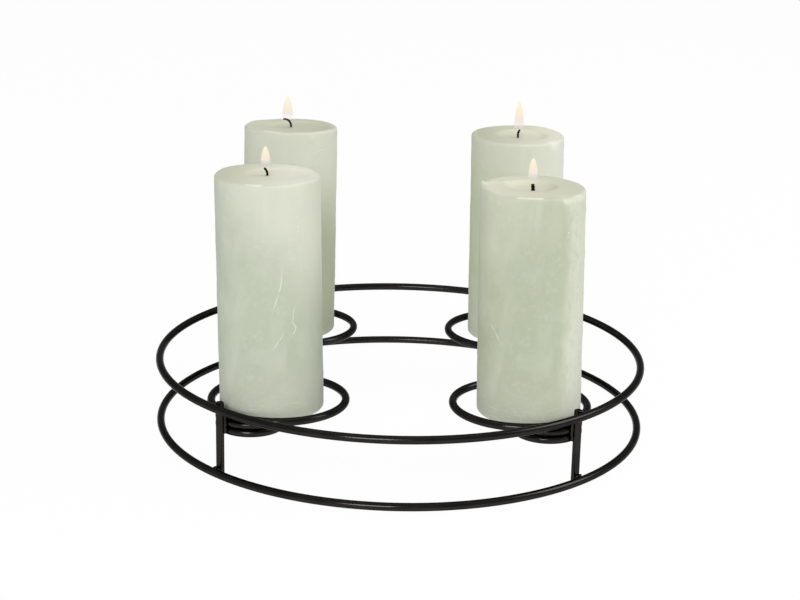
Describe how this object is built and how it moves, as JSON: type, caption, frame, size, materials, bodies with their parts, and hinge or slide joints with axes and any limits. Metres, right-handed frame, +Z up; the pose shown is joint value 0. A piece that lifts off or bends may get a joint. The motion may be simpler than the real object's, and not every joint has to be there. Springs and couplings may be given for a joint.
{
  "type": "advent candle holder",
  "caption": "Round black wire wreath of two stacked rings on uprights, with ring holders that carry upright pillar candles.",
  "frame": {"origin": "on the table under the middle of the wreath", "axes": "+Z up along the candles; the front towards -Y, with a candle on each diagonal"},
  "size_m": [0.35, 0.35, 0.2024],
  "materials": {
    "black_powder_coated_steel": "satin black powder coat",
    "sage_green_wax": "frosted rustic wax",
    "burnt_cotton": "charred wick"
  },
  "bodies": {
    "frame": {"upper_ring": "black_powder_coated_steel", "lower_ring": "black_powder_coated_steel", "upright_front_left": "black_powder_coated_steel", "guard_ring_front_left": "black_powder_coated_steel", "upper_support_ring_front_left": "black_powder_coated_steel", "lower_support_ring_front_left": "black_powder_coated_steel", "upright_front_right": "black_powder_coated_steel", "guard_ring_front_right": "black_powder_coated_steel", "upper_support_ring_front_right": "black_powder_coated_steel", "lower_support_ring_front_right": "black_powder_coated_steel", "upright_back_right": "black_powder_coated_steel", "guard_ring_back_right": "black_powder_coated_steel", "upper_support_ring_back_right": "black_powder_coated_steel", "lower_support_ring_back_right": "black_powder_coated_steel", "upright_back_left": "black_powder_coated_steel", "guard_ring_back_left": "black_powder_coated_steel", "upper_support_ring_back_left": "black_powder_coated_steel", "lower_support_ring_back_left": "black_powder_coated_steel", "upper_ring_welds": "black_powder_coated_steel", "lower_ring_welds": "black_powder_coated_steel", "holder_welds": "black_powder_coated_steel"},
    "front_left_candle": {"candle_front_left": "sage_green_wax", "wick_front_left": "burnt_cotton"},
    "front_right_candle": {"candle_front_right": "sage_green_wax", "wick_front_right": "burnt_cotton"},
    "back_right_candle": {"candle_back_right": "sage_green_wax", "wick_back_right": "burnt_cotton"},
    "back_left_candle": {"candle_back_left": "sage_green_wax", "wick_back_left": "burnt_cotton"}
  },
  "joints": [
    {"name": "front_left_candle_lift", "type": "slide", "parent": "frame", "child": "front_left_candle", "axis": [0, 0, 1], "range_m": [0, 0.04]},
    {"name": "front_right_candle_lift", "type": "slide", "parent": "frame", "child": "front_right_candle", "axis": [0, 0, 1], "range_m": [0, 0.04]},
    {"name": "back_right_candle_lift", "type": "slide", "parent": "frame", "child": "back_right_candle", "axis": [0, 0, 1], "range_m": [0, 0.04]},
    {"name": "back_left_candle_lift", "type": "slide", "parent": "frame", "child": "back_left_candle", "axis": [0, 0, 1], "range_m": [0, 0.04]}
  ]
}
